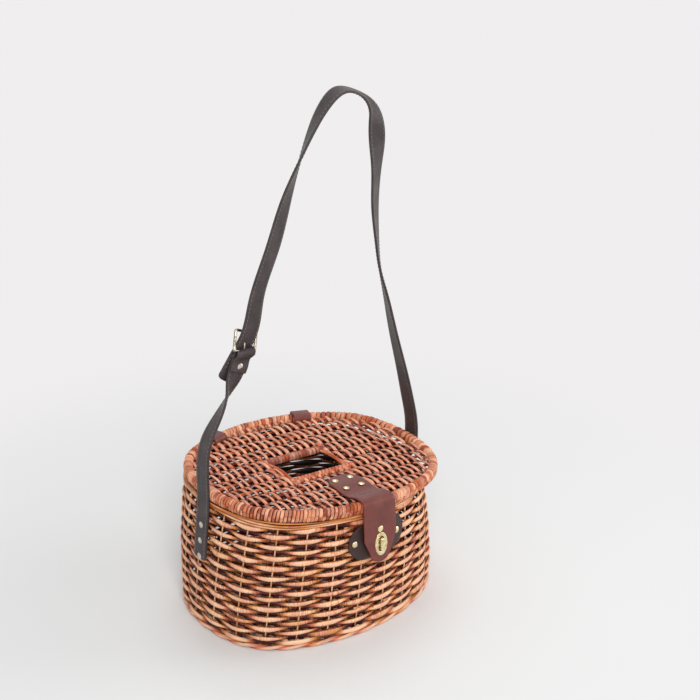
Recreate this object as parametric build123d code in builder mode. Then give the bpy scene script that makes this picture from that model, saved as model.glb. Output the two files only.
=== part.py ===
from build123d import *
import os
from math import asin, atan, atan2, cos, degrees, radians, sin, sqrt, tan

os.makedirs("parts", exist_ok=True)

# Lidded willow basket with a leather strap and a turn-button latch, in mm.
# The origin is on the table under the middle of the base. The front is -Y, and +X is to the right.

# Plan of the basket: half lengths, half depths, and the radii of its ends, sides and corners
base_half_x, base_half_y = 166.0, 137.0
mouth_draw_x, mouth_draw_y = 12.0, 4.0
wall_half_x, wall_half_y = base_half_x - mouth_draw_x, base_half_y - mouth_draw_y
end_radius, side_radius, corner_radius = 190.0, 240.0, 98.0
belly_swell, wall_thick = 3.0, 7.0

# Base: a woven plate in a thick foot ring, with sticks across its underside
foot_height, foot_width, foot_round = 15.0, 9.0, 4.0
base_rise, base_thick = 7.0, 5.0
base_stick_dia, base_stick_pitch, base_stick_count = 6.0, 34.0, 7

# Upright stakes inside the weave, and the border that locks their ends
stake_dia, stake_count, stake_start, stake_turn = 4.0, 24, 0.66, 0.024
stake_seat = 0.5
border_height, border_width, border_round = 9.0, 9.0, 3.6

# The mouth and the lid slope down to the right by the crown's fall, and the lid sits off centre
crown_height, crown_fall = 189.0, 4.5
seat_gap = 0.3
lid_shift_x, lid_shift_y = 10.0, -1.0
lid_over_x, lid_over_y = 11.0, 5.0
lid_half_x, lid_half_y = wall_half_x + lid_over_x, wall_half_y + lid_over_y
rim_height, rim_width, rim_round = 16.0, 12.0, 5.0
lid_weave_sink, lid_weave_thick = 4.0, 5.0
lid_stick_dia, lid_stick_pitch, lid_stick_count = 4.0, 26.0, 9

# Hand hole in the lid, with a rod on each side of it
hole_half_x, hole_half_y = 39.0, 26.5
hole_at_x, hole_at_y = -8.0, -1.0
frame_rod, frame_proud, frame_round = 7.0, 1.5, 3.0

# Latch leather: the tab on the lid, the flap that hangs from it, and the patch on the wall
leather, lay_gap = 2.5, 0.2
tab_width, tab_length, tab_corner = 48.0, 84.0, 20.0
fold_drop = 6.0
flap_width, flap_tip_width, flap_straight, flap_length = 50.0, 22.0, 44.0, 78.0
patch_width, patch_height, patch_level = 88.0, 48.0, 136.0

# Rivets and washers
rivet_dia, rivet_head, rivet_rise = 3.0, 8.0, 1.6
washer_dia, washer_thick, washer_seat = 10.0, 1.0, 0.2
tab_rivet_x, tab_rivet_y, tab_rivet_at = 24.0, 23.0, -76.5
patch_rivet_spread = 68.0
flap_rivet_up = 20.6

# Eyelet plates in the flap and the turn button behind them
latch_level = 130.0
eyelet_width, eyelet_height, eyelet_thick = 19.0, 32.0, 1.2
slot_width, slot_height = 9.0, 21.0
lock_width, lock_height, lock_thick = 15.0, 27.0, 1.2
button_length, button_width, button_thick, spindle_dia = 18.0, 5.6, 4.0, 4.0
running_gap = 0.3

# Hinge loops round the back of the rim and the border
loop_spread, loop_width, loop_depth = 72.0, 24.0, 17.0
hinge_back = 2.0

# Carrying strap: two riveted ends, a short piece with the buckle and a long piece with the holes
strap_width, strap_thick, strap_tip_width = 25.0, 3.0, 12.0
strap_split, strap_foot = 40.0, 98.0
strap_rivet_top, strap_rivet_pitch, strap_rivet_count = 49.0, 20.0, 3
strap_top_x, strap_top_z, strap_tip_out, strap_tip_down = 57.0, 671.5, 26.0, 33.0
buckle_heel_x, buckle_heel_z, buckle_turn = -92.8, 370.0, 66.0
buckle_bar, buckle_inside, buckle_reach, buckle_lift = 3.4, 29.0, 24.0, 9.4
fold_back, prong_dia, prong_slot, prong_reach = 26.0, 2.4, 4.4, 28.5

fall = radians(crown_fall)
across, rise, depth = Vector(cos(fall), 0, -sin(fall)), Vector(sin(fall), 0, cos(fall)), Vector(0, 1, 0)
crown_mid = crown_height + lid_shift_x * tan(fall)
border_under = -rim_height - seat_gap - border_height
wall_top = crown_mid + border_under * cos(fall)


def crown_plane(height, x=0.0, y=0.0):
    # Plane parallel to the mouth. Its x, y and height run along the mouth from over the origin.
    return Plane(origin=Vector(0, 0, crown_mid) + across * x + depth * y + rise * height, x_dir=across, z_dir=rise)


def lid_plane(height, x=0.0, y=0.0):
    # The same plane measured from the middle of the lid.
    return crown_plane(height, lid_shift_x / cos(fall) + x, lid_shift_y + y)


def oval(half_x, half_y, inset=0.0):
    # Outline of eight tangent arcs, two ends, two sides and four corners, all drawn in by the inset.
    # A corner's centre is where circles of radius (end - corner) and (side - corner) about the others meet.
    end_x, side_y = half_x - end_radius, half_y - side_radius
    ends, sides, corner = end_radius - inset, side_radius - inset, corner_radius - inset
    span = sqrt(end_x**2 + side_y**2)
    along = ((ends - corner) ** 2 - (sides - corner) ** 2 + span**2) / (2 * span)
    off = sqrt((ends - corner) ** 2 - along**2)
    cx = end_x - along * end_x / span - off * side_y / span
    cy = along * side_y / span - off * end_x / span
    low, high = degrees(atan2(cy, cx - end_x)), degrees(atan2(cy - side_y, cx))
    with BuildSketch(mode=Mode.PRIVATE) as outline:
        with BuildLine():
            CenterArc((end_x, 0), ends, -low, 2 * low)
            CenterArc((cx, cy), corner, low, high - low)
            CenterArc((0, side_y), sides, high, 180 - 2 * high)
            CenterArc((-cx, cy), corner, 180 - high, high - low)
            CenterArc((-end_x, 0), ends, 180 - low, 2 * low)
            CenterArc((-cx, -cy), corner, 180 + low, high - low)
            CenterArc((0, -side_y), sides, 180 + high, 180 - 2 * high)
            CenterArc((cx, -cy), corner, 360 - high, high - low)
        make_face()
    return outline.sketch


def side_at(half_y, x):
    # How far out the long side of an outline is, at x along it.
    return half_y - side_radius + sqrt(side_radius**2 - x**2)


def wall_plane(share):
    # Section of the wall at a share of its height, level at the foot and turning to the mouth's slope.
    turn = fall * share
    middle = (border_under * sin(fall) * share, 0, foot_height + (wall_top - foot_height) * share)
    return Plane(origin=middle, x_dir=(cos(turn), 0, -sin(turn)), z_dir=(sin(turn), 0, cos(turn)))


def wall_half(share):
    # Half length and half depth there: a straight lean from base to mouth, plus the belly.
    belly = 4 * belly_swell * share * (1 - share)
    return (base_half_x + (wall_half_x - base_half_x) * share + belly,
            base_half_y + (wall_half_y - base_half_y) * share + belly)


def share_at(level):
    return (level - foot_height) / (wall_top - foot_height)


def wall_solid(inset):
    # Solid of the wall's form, drawn in by the inset.
    with BuildPart(mode=Mode.PRIVATE) as form:
        for share in (0, 0.33, 0.67, 1):
            with BuildSketch(wall_plane(share)):
                add(oval(*wall_half(share), inset))
        loft()
    return form.part


def rivet(grip):
    # Domed rivet, seated at z = 0, with a shank of the given grip below.
    with BuildPart(mode=Mode.PRIVATE) as body:
        with BuildSketch(Plane.XZ):
            with BuildLine():
                brim, dome = rivet_rise / 4, rivet_rise * 3 / 4
                round_off = (rivet_head**2 / 4 + dome**2) / (2 * dome)
                half = asin(rivet_head / 2 / round_off) / 2
                Polyline((0, rivet_rise), (0, -grip), (rivet_dia / 2, -grip), (rivet_dia / 2, 0),
                         (rivet_head / 2, 0), (rivet_head / 2, brim))
                ThreePointArc((rivet_head / 2, brim),
                              (round_off * sin(half), rivet_rise - round_off * (1 - cos(half))), (0, rivet_rise))
            make_face()
        revolve()
    return body.part


def washer(drop):
    # Plain washer whose top face lies a given depth below z = 0.
    with BuildPart(mode=Mode.PRIVATE) as body:
        with BuildSketch(Plane.XZ):
            with Locations(((rivet_dia + washer_dia) / 4, -drop - washer_thick / 2)):
                Rectangle((washer_dia - rivet_dia) / 2, washer_thick)
        revolve()
    return body.part


# Base
with BuildPart() as foot_ring:
    with BuildSketch():
        add(oval(base_half_x, base_half_y))
        add(oval(base_half_x, base_half_y, foot_width), mode=Mode.SUBTRACT)
    extrude(amount=foot_height)
    fillet(foot_ring.faces().sort_by(Axis.Z)[0].outer_wire().edges(), foot_round)
foot_ring.part.label = "foot_ring"

with BuildPart() as base_weave:
    with BuildSketch(Plane.XY.offset(base_rise)):
        add(oval(base_half_x, base_half_y, foot_width))
    extrude(amount=base_thick)
base_weave.part.label = "base_weave"

with BuildPart() as base_sticks:
    with BuildSketch(Plane.YZ.offset(-base_half_x)):
        with Locations((0, base_rise - base_stick_dia / 2)):
            with GridLocations(base_stick_pitch, 1, base_stick_count, 1):
                Circle(base_stick_dia / 2)
    extrude(amount=2 * base_half_x)
    with BuildSketch():
        add(oval(base_half_x, base_half_y, foot_width))
    extrude(amount=base_rise, mode=Mode.INTERSECT)
base_sticks.part.label = "base_sticks"


# Hinge loops stand square to the lid's rim, so each is turned by the outline's slope at its place
def loop_plane(sign):
    x = sign * loop_spread
    turn = asin(x / side_radius)
    return Plane(
        origin=lid_plane(0, x, side_at(lid_half_y, x)).origin,
        x_dir=across * sin(turn) + depth * cos(turn),
        z_dir=across * cos(turn) - depth * sin(turn),
    )


loop_planes = [loop_plane(-1), loop_plane(1)]
loop_inner_x, loop_inner_y = loop_depth + seat_gap, -border_under + 2 * seat_gap
loop_middle = (seat_gap - loop_inner_x / 2, seat_gap - loop_inner_y / 2)


def loop_band(grow):
    # Closed band of leather round the rim and the border; grown a little, it is the room that it needs.
    with BuildPart(mode=Mode.PRIVATE) as band:
        for plane in loop_planes:
            with BuildSketch(plane):
                with Locations(loop_middle):
                    RectangleRounded(loop_inner_x + 2 * (leather + grow), loop_inner_y + 2 * (leather + grow), 5)
                    RectangleRounded(loop_inner_x - 2 * grow, loop_inner_y - 2 * grow, 2.5, mode=Mode.SUBTRACT)
            extrude(amount=loop_width / 2 + grow, both=True)
    return band.part


loops, loop_room = loop_band(0), loop_band(lay_gap)


# The strap's ends lie on the wall's ends, and the patch on its front
def wall_end(sign, share):
    return wall_plane(share).from_local_coords((sign * wall_half(share)[0], 0, 0))


def strap_spot(sign, drop, lift):
    # Plane over the wall's end at a depth below the mouth, facing out square to the wall's lean.
    share = share_at(crown_mid - drop)
    out = depth.cross(wall_end(sign, share + 0.01) - wall_end(sign, share - 0.01)).normalized() * sign
    return Plane(origin=wall_end(sign, share) + out * lift, x_dir=depth, z_dir=out)


strap_drops = [strap_rivet_top + strap_rivet_pitch * i for i in range(strap_rivet_count)]
strap_spots = {
    sign: [strap_spot(sign, drop, lay_gap + strap_thick) for drop in strap_drops] for sign in (-1, 1)
}
flap_x = lid_shift_x


def wall_front(x, share):
    return wall_plane(share).from_local_coords((x, -side_at(wall_half(share)[1], x), 0))


def patch_spot(x, lift):
    # Plane over the wall's front, facing out square to its curve and lean.
    share = share_at(patch_level)
    side = (wall_front(x + 1, share) - wall_front(x - 1, share)).normalized()
    out = side.cross(wall_front(x, share + 0.01) - wall_front(x, share - 0.01)).normalized()
    return Plane(origin=wall_front(x, share) + out * lift, x_dir=side, z_dir=out)


patch_spots = [patch_spot(flap_x + side * patch_rivet_spread / 2, lay_gap + leather) for side in (-1, 1)]
wall_bores = strap_spots[-1] + strap_spots[1] + patch_spots

# Wall, its stakes and its border
wall_outer, wall_inner, wall_clear = wall_solid(0), wall_solid(wall_thick), wall_solid(-lay_gap)
patch_skin, strap_skin = wall_solid(-lay_gap - leather), wall_solid(-lay_gap - strap_thick)

with BuildPart() as wall_weave:
    add(wall_outer)
    add(wall_inner, mode=Mode.SUBTRACT)
    add(loop_room, mode=Mode.SUBTRACT)
    with Locations(*wall_bores):
        Cylinder(rivet_dia / 2, 4 * wall_thick, mode=Mode.SUBTRACT)
wall_weave.part.label = "wall_weave"

stake_inset = wall_thick + lay_gap + stake_dia / 2
foot_line = (wall_plane(0) * oval(*wall_half(0), stake_inset)).wire()
mouth_line = (wall_plane(1) * oval(*wall_half(1), stake_inset)).wire()
with BuildPart() as wall_stakes:
    for i in range(stake_count):
        share = (i + stake_start) / stake_count
        low, high = foot_line @ share, mouth_line @ ((share + stake_turn) % 1)
        way = (high - low).normalized()
        with BuildSketch(Plane(origin=low + way * stake_seat, z_dir=way)):
            Circle(stake_dia / 2)
        extrude(amount=(high - low).length - leather - 2 * seat_gap - stake_seat)
wall_stakes.part.label = "wall_stakes"

with BuildPart() as top_border:
    with BuildSketch(crown_plane(border_under)):
        add(oval(wall_half_x, wall_half_y))
        add(oval(wall_half_x, wall_half_y, border_width), mode=Mode.SUBTRACT)
    extrude(amount=border_height)
    fillet(top_border.edges(), border_round)
top_border.part.label = "top_border"

# Lid: rim, woven field, sticks under it and the hand hole's frame
lid_under = -lid_weave_sink - lid_weave_thick
tab_spots = [
    lid_plane(leather + lay_gap - lid_weave_sink, sx * tab_rivet_x / 2, tab_rivet_at + sy * tab_rivet_y / 2)
    for sx in (-1, 1) for sy in (-1, 1)
]

with BuildPart() as lid_rim:
    with BuildSketch(lid_plane(-rim_height)):
        add(oval(lid_half_x, lid_half_y))
        add(oval(lid_half_x, lid_half_y, rim_width), mode=Mode.SUBTRACT)
    extrude(amount=rim_height)
    ends = lid_rim.faces().sort_by(Axis((0, 0, 0), rise))
    fillet(ends[0].edges() + ends[-1].edges(), rim_round)
lid_rim.part.label = "lid_rim"

with BuildPart() as lid_weave:
    with BuildSketch(lid_plane(lid_under)):
        add(oval(lid_half_x, lid_half_y, rim_width))
        with Locations((hole_at_x, hole_at_y)):
            Rectangle(2 * (hole_half_x + frame_rod), 2 * (hole_half_y + frame_rod), mode=Mode.SUBTRACT)
    extrude(amount=lid_weave_thick)
    add(loop_room, mode=Mode.SUBTRACT)
    with Locations(*tab_spots):
        Cylinder(rivet_dia / 2, 4 * lid_weave_thick, mode=Mode.SUBTRACT)
lid_weave.part.label = "lid_weave"

with BuildPart() as lid_sticks:
    stick_plane = lid_plane(lid_under - lid_stick_dia / 2)
    with BuildSketch(Plane(origin=stick_plane.origin - across * lid_half_x, x_dir=depth, z_dir=across)):
        with GridLocations(lid_stick_pitch, 1, lid_stick_count, 1):
            Circle(lid_stick_dia / 2)
    extrude(amount=2 * lid_half_x)
    with BuildSketch(lid_plane(lid_under - lid_stick_dia)):
        add(oval(lid_half_x, lid_half_y, rim_width))
        with Locations((hole_at_x, hole_at_y)):
            Rectangle(2 * (hole_half_x + frame_rod), 2 * (hole_half_y + frame_rod), mode=Mode.SUBTRACT)
    extrude(amount=lid_stick_dia, mode=Mode.INTERSECT)
    add(loop_room, mode=Mode.SUBTRACT)
lid_sticks.part.label = "lid_sticks"

with BuildPart() as hole_frame:
    with BuildSketch(lid_plane(lid_under - frame_proud)):
        with Locations((hole_at_x, hole_at_y)):
            RectangleRounded(2 * (hole_half_x + frame_rod), 2 * (hole_half_y + frame_rod), frame_rod / 2)
            RectangleRounded(2 * hole_half_x, 2 * hole_half_y, frame_rod / 2, mode=Mode.SUBTRACT)
    extrude(amount=lid_weave_thick + 2 * frame_proud)
    ends = hole_frame.faces().sort_by(Axis((0, 0, 0), rise))
    fillet(ends[0].edges() + ends[-1].edges(), frame_round)
hole_frame.part.label = "hole_frame"

# Hinge loops
with BuildPart() as hinge_loop_left:
    add(loops.solids().sort_by(Axis.X)[0])
hinge_loop_left.part.label = "hinge_loop_left"

with BuildPart() as hinge_loop_right:
    add(loops.solids().sort_by(Axis.X)[-1])
hinge_loop_right.part.label = "hinge_loop_right"

# Tab on the lid. It lies on the weave, climbs the rim and turns down over its outer edge.
over_weave, over_rim = lay_gap + leather / 2 - lid_weave_sink, lay_gap + leather / 2
tab_front = lid_half_y + lay_gap + leather / 2
rim_in = lid_half_y - rim_width
fold_gap = leather / 2 + running_gap
with BuildPart() as latch_tab:
    with BuildLine(Plane(origin=lid_plane(0).origin, x_dir=depth, z_dir=across)) as tab_path:
        FilletPolyline(
            (tab_length - lid_half_y, over_weave), (9 - rim_in, over_weave), (1.5 - rim_in, over_rim),
            (-tab_front, over_rim), (-tab_front, fold_gap - fold_drop),
            radius=[12, 6, rim_round + lay_gap],
        )
    with BuildSketch(Plane(origin=tab_path.line @ 0, x_dir=across, z_dir=depth * -1)):
        Rectangle(tab_width, leather)
    sweep()
    uprights = [e for e in latch_tab.edges() if abs((e % 0.5).dot(rise)) > 0.99 and e.length < 1.1 * leather]
    fillet(ShapeList(uprights).sort_by(Axis.Y)[-2:], tab_corner)
    with Locations(*tab_spots):
        Cylinder(rivet_dia / 2, 4 * leather, mode=Mode.SUBTRACT)
latch_tab.part.label = "latch_tab"

with BuildPart() as tab_rivets:
    with Locations(*tab_spots):
        add(rivet(leather + lay_gap + lid_weave_thick + washer_thick + rivet_rise))
tab_rivets.part.label = "tab_rivets"

with BuildPart() as tab_washers:
    with Locations(*tab_spots):
        add(washer(leather + lay_gap + lid_weave_thick))
tab_washers.part.label = "tab_washers"

# Flap. Its flat plane runs from the fold to the front of the latch, and z in it is out from the leather's back.
patch_face = wall_half(share_at(latch_level))[1] + 1.5 * lay_gap + leather
flap_back = patch_face + lock_thick + 2 * running_gap + eyelet_thick
fold = lid_plane(-fold_drop, 0, -tab_front).origin
flap_lean = atan((flap_back + fold.Y + leather / 2) / (fold.Z - latch_level))
flap_out = Vector(0, -cos(flap_lean), sin(flap_lean))
flap_plane = Plane(origin=fold - flap_out * (leather / 2), x_dir=(1, 0, 0), z_dir=flap_out)
latch_at = -(fold.Z - latch_level) / cos(flap_lean)

with BuildPart() as latch_flap:
    with BuildSketch(flap_plane) as flap_outline:
        with BuildLine():
            slant = flap_width / 2 * tan(fall)
            Polyline(
                (-flap_width / 2, slant), (-flap_width / 2, -flap_straight), (-flap_tip_width / 2, -flap_length),
                (flap_tip_width / 2, -flap_length), (flap_width / 2, -flap_straight), (flap_width / 2, -slant),
                close=True,
            )
        make_face()
        with Locations((0, latch_at)):
            SlotCenterToCenter(slot_height - slot_width, slot_width + 2, rotation=90, mode=Mode.SUBTRACT)
        with Locations((0, latch_at + flap_rivet_up)):
            Circle(rivet_dia / 2, mode=Mode.SUBTRACT)
    extrude(amount=leather)
    corners = latch_flap.edges().filter_by(Axis(flap_plane.origin, flap_plane.z_dir)).filter_by(GeomType.LINE)
    fillet(corners.group_by(Axis.Z)[0], flap_tip_width / 2.4)
    with BuildSketch(Plane(origin=fold - across * (flap_width / 2), z_dir=across)):
        Circle(leather / 2)
    extrude(amount=flap_width)
latch_flap.part.label = "latch_flap"

with BuildPart() as eyelet_front:
    with BuildSketch(flap_plane.offset(leather)):
        with Locations((0, latch_at)):
            Ellipse(eyelet_width / 2, eyelet_height / 2)
            SlotCenterToCenter(slot_height - slot_width, slot_width, rotation=90, mode=Mode.SUBTRACT)
    extrude(amount=eyelet_thick)
    fillet(eyelet_front.faces().sort_by(Axis(flap_plane.origin, flap_out))[-1].edges(), eyelet_thick * 0.4)
eyelet_front.part.label = "eyelet_front"

with BuildPart() as eyelet_back:
    with BuildSketch(flap_plane.offset(-eyelet_thick)):
        with Locations((0, latch_at)):
            Ellipse(eyelet_width / 2, eyelet_height / 2)
            SlotCenterToCenter(slot_height - slot_width, slot_width, rotation=90, mode=Mode.SUBTRACT)
    extrude(amount=eyelet_thick)
eyelet_back.part.label = "eyelet_back"

with BuildPart() as flap_rivet:
    with Locations(flap_plane.offset(leather)):
        with Locations((0, latch_at + flap_rivet_up, 0)):
            add(rivet(leather + eyelet_thick))
flap_rivet.part.label = "flap_rivet"

# Patch on the wall, with the base plate and the turn button
with BuildPart() as latch_patch:
    add(patch_skin)
    add(wall_clear, mode=Mode.SUBTRACT)
    with BuildSketch(Plane(origin=(flap_x, 0, patch_level), x_dir=(1, 0, 0), z_dir=(0, -1, 0))):
        SlotOverall(patch_width, patch_height)
    extrude(amount=2 * base_half_y, mode=Mode.INTERSECT)
    with Locations(*patch_spots):
        Cylinder(rivet_dia / 2, 4 * leather, mode=Mode.SUBTRACT)
latch_patch.part.label = "latch_patch"

patch_grip = leather + lay_gap + wall_thick
with BuildPart() as patch_rivets:
    with Locations(*patch_spots):
        add(rivet(patch_grip + washer_seat + washer_thick + rivet_rise))
patch_rivets.part.label = "patch_rivets"

with BuildPart() as patch_washers:
    with Locations(*patch_spots):
        add(washer(patch_grip + washer_seat))
patch_washers.part.label = "patch_washers"

lock_face = -eyelet_thick - 2 * running_gap
with BuildPart() as lock_plate:
    with BuildSketch(flap_plane.offset(lock_face - lock_thick)):
        with Locations((0, latch_at)):
            SlotOverall(lock_height, lock_width, rotation=90)
    extrude(amount=lock_thick)
lock_plate.part.label = "lock_plate"

with BuildPart() as turn_button:
    with BuildSketch(flap_plane.offset(leather + eyelet_thick + running_gap)):
        with Locations((0, latch_at)):
            SlotOverall(button_length, button_width, rotation=90)
    extrude(amount=button_thick)
    fillet(turn_button.faces().sort_by(Axis(flap_plane.origin, flap_out))[-1].edges(), button_width * 0.3)
    with BuildSketch(flap_plane.offset(lock_face)):
        with Locations((0, latch_at)):
            Circle(spindle_dia / 2)
    extrude(amount=leather + eyelet_thick + running_gap - lock_face)
turn_button.part.label = "turn_button"


# Strap ends, each following the wall, with their rivets
def strap_end(sign):
    with BuildPart(mode=Mode.PRIVATE) as end:
        add(strap_skin)
        add(wall_clear, mode=Mode.SUBTRACT)
        with BuildSketch(Plane(origin=crown_plane(0).origin, x_dir=depth, z_dir=across)):
            with Locations((0, -(strap_split + strap_foot) / 2)):
                Rectangle(strap_width, strap_foot - strap_split)
        extrude(amount=sign * 2 * base_half_x, mode=Mode.INTERSECT)
        with Locations(*strap_spots[sign]):
            Cylinder(rivet_dia / 2, 4 * strap_thick, mode=Mode.SUBTRACT)
    return end.part


with BuildPart() as strap_end_left:
    add(strap_end(-1))
strap_end_left.part.label = "strap_end_left"

with BuildPart() as strap_end_right:
    add(strap_end(1))
strap_end_right.part.label = "strap_end_right"

strap_grip = strap_thick + lay_gap + wall_thick
with BuildPart() as strap_rivets_left:
    with Locations(*strap_spots[-1]):
        add(rivet(strap_grip + washer_seat + washer_thick + rivet_rise))
strap_rivets_left.part.label = "strap_rivets_left"

with BuildPart() as strap_rivets_right:
    with Locations(*strap_spots[1]):
        add(rivet(strap_grip + washer_seat + washer_thick + rivet_rise))
strap_rivets_right.part.label = "strap_rivets_right"

with BuildPart() as strap_washers:
    with Locations(*strap_spots[-1], *strap_spots[1]):
        add(washer(strap_grip + washer_seat))
strap_washers.part.label = "strap_washers"


def between(start, end, stations):
    # Stations given as shares of the way across and up from one point to another, and the width's turn.
    return [
        (start.X + (end.X - start.X) * over, 0, start.Z + (end.Z - start.Z) * up, turn) for over, up, turn in stations
    ]


def strap_way(stations, first=None, last=None):
    # Section planes of a twisting strap. A station is its middle, x, y, z, and the turn of its width away
    # from the Y axis, in degrees seen from above. The width is kept square to the strap's own run.
    spots = [Vector(*station[:3]) for station in stations]
    planes = []
    for i, station in enumerate(stations):
        back, ahead = spots[max(i - 1, 0)], spots[min(i + 1, len(spots) - 1)]
        run = (spots[i] - back).normalized() + (ahead - spots[i]).normalized() if back != spots[i] != ahead \
            else (ahead - back)
        run = (first if i == 0 and first else last if i == len(spots) - 1 and last else run).normalized()
        wide = Vector(sin(radians(station[3])), cos(radians(station[3])), 0)
        wide = (wide - run * wide.dot(run)).normalized()
        planes.append(Plane(origin=spots[i], x_dir=wide, z_dir=run))
    return planes


# The strap's free length leaves both ends at the split, passes outside the lid's rim and twists on its way
left_foot, right_foot = [
    crown_plane(seat_gap - strap_split).from_local_coords(
        (crown_plane(0).to_local_coords(strap_spot(sign, strap_split, 2 * lay_gap + strap_thick / 2).origin).X, 0, 0)
    ) for sign in (-1, 1)
]
rim_left = crown_plane(-rim_height / 2, lid_shift_x - lid_half_x - seat_gap - strap_thick / 2).origin
rim_right = crown_plane(-rim_height / 2, lid_shift_x + lid_half_x + 1 + strap_thick / 2).origin
under_right = crown_plane(-rim_height - 2, lid_shift_x + lid_half_x + strap_thick / 2).origin

heel, crown = Vector(buckle_heel_x, 0, buckle_heel_z), Vector(strap_top_x, 0, strap_top_z)
along = Vector(cos(radians(buckle_turn)), 0, sin(radians(buckle_turn)))
abreast = Vector(sin(radians(buckle_turn)), 0, -cos(radians(buckle_turn)))
bar_middle = heel - depth * (strap_thick / 2 + running_gap + buckle_bar / 2)
fold_start = heel - along * (fold_back + 4)

short_planes = strap_way(
    [
        (*left_foot, 0),
        *between(rim_left, heel, [(0, 0, 0), (0, 0.159, 0), (0.124, 0.409, 8), (0.404, 0.568, 25), (0.638, 0.704, 50)]),
        (*fold_start, 90),
    ],
    first=rise, last=along,
)
bar_at, wrap = strap_thick / 2 + running_gap + buckle_bar / 2, buckle_bar / 2 + running_gap
near, far = strap_thick / 2 + lay_gap, strap_thick * 3 / 2 + lay_gap
rivet_spot = Plane(origin=heel - along * (fold_back - 8) - depth * far, x_dir=abreast, z_dir=depth * -1)
with BuildPart() as short_strap:
    for plane in short_planes:
        with BuildSketch(plane):
            Rectangle(strap_width, strap_thick)
    loft(ruled=True)
    # The fold round the buckle's heel bar: out to the bar, round it and back down the inner side
    with BuildSketch(Plane(origin=heel - abreast * (strap_width / 2), x_dir=along, z_dir=abreast)):
        with Locations((-(fold_back + 4) / 2, 0)):
            Rectangle(fold_back + 4, strap_thick)
        with Locations((0, bar_at)):
            Circle(wrap + strap_thick)
        with BuildLine():
            Polyline(
                (0, bar_at + wrap), (0, bar_at + wrap + strap_thick), (-3 * strap_thick, far), (-fold_back, far),
                (-fold_back, near), (-3.3 * strap_thick, near), close=True,
            )
        make_face()
        with Locations((0, bar_at)):
            Circle(wrap, mode=Mode.SUBTRACT)
    extrude(amount=strap_width)
    with BuildSketch(Plane(origin=bar_middle - depth * 12, x_dir=along, z_dir=depth)):
        Rectangle(2 * (wrap + strap_thick + 1), prong_slot)
    extrude(amount=24, mode=Mode.SUBTRACT)
    with Locations(rivet_spot):
        Cylinder(rivet_dia / 2, 6 * strap_thick, mode=Mode.SUBTRACT)
short_strap.part.label = "short_strap"

# The long piece comes down through the buckle, and its free tip hangs past the heel bar
tail = heel + depth * (strap_thick + 2 * running_gap)
long_planes = strap_way(
    [
        (tail.X - strap_tip_out, tail.Y, tail.Z - strap_tip_down, 90),
        (tail.X - strap_tip_out * 0.77, tail.Y, tail.Z - strap_tip_down * 0.77, 90), (*tail, 90),
        *between(heel, crown, [
            (0.075, 0.07, 89), (0.146, 0.209, 80), (0.312, 0.405, 78), (0.459, 0.6, 66), (0.619, 0.769, 40),
            (0.72, 0.862, 25), (0.853, 0.954, 12), (1, 1, 5),
        ]),
        *between(crown, rim_right, [
            (0.193, 0.012, 12), (0.335, 0.038, 35), (0.436, 0.074, 65), (0.478, 0.126, 88), (0.482, 0.2, 70),
            (0.461, 0.303, 56), (0.49, 0.41, 44), (0.524, 0.476, 37), (0.603, 0.553, 26), (0.721, 0.672, 14),
            (0.855, 0.795, 5), (0.947, 0.889, 0), (1, 0.96, 0), (1, 1, 0),
        ]),
        (*under_right, 0), (*right_foot, 0),
    ],
    last=rise * -1,
)
with BuildPart() as long_strap:
    for i, plane in enumerate(long_planes):
        with BuildSketch(plane):
            Rectangle(strap_width if i else strap_tip_width, strap_thick)
    loft(ruled=True)
    with BuildSketch(Plane(origin=tail - depth * 8, x_dir=along, z_dir=depth)):
        with Locations((prong_slot * 2.3, 0)):
            SlotOverall(prong_slot * 5.2, prong_slot)
    extrude(amount=16, mode=Mode.SUBTRACT)
long_strap.part.label = "long_strap"

# Buckle: the heel bar lies in the fold, and the frame leans out so that its far bar crosses over the long piece
reach = (along * buckle_reach + depth * buckle_lift).normalized()
frame_length = sqrt(buckle_reach**2 + buckle_lift**2)
frame_plane = Plane(origin=bar_middle, x_dir=abreast, z_dir=abreast.cross(reach))
with BuildPart() as buckle_frame:
    with BuildSketch(frame_plane):
        with Locations((0, frame_length / 2)):
            RectangleRounded(buckle_inside + 2 * buckle_bar, frame_length + buckle_bar, buckle_bar)
            RectangleRounded(buckle_inside, frame_length - buckle_bar, buckle_bar / 3, mode=Mode.SUBTRACT)
    extrude(amount=buckle_bar / 2, both=True)
    flats = buckle_frame.faces().sort_by(Axis(frame_plane.origin, frame_plane.z_dir))
    fillet(flats[0].edges() + flats[-1].edges(), buckle_bar * 0.36)
buckle_frame.part.label = "buckle_frame"

# Prong: an eye round the heel bar and a straight pin that lies over the far bar
far_bar = bar_middle + reach * frame_length
over = depth * (buckle_bar / 2 + prong_dia / 2 + 2 * running_gap)
pin_way = (far_bar + over - bar_middle).normalized()
eye_inside = buckle_bar / 2 + running_gap
eye_outside = eye_inside + prong_dia
with BuildPart() as buckle_prong:
    with BuildSketch(Plane(origin=bar_middle - abreast * (prong_dia * 0.6), x_dir=along, z_dir=abreast)):
        Circle(eye_outside)
        Circle(eye_inside, mode=Mode.SUBTRACT)
    extrude(amount=prong_dia * 1.2)
    with BuildSketch(Plane(origin=bar_middle + pin_way * (eye_inside + prong_dia / 4), z_dir=pin_way)):
        Circle(prong_dia / 2)
    extrude(amount=prong_reach - eye_inside)
buckle_prong.part.label = "buckle_prong"

with BuildPart() as buckle_rivet:
    with Locations(rivet_spot):
        add(rivet(2 * strap_thick + lay_gap))
buckle_rivet.part.label = "buckle_rivet"

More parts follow.
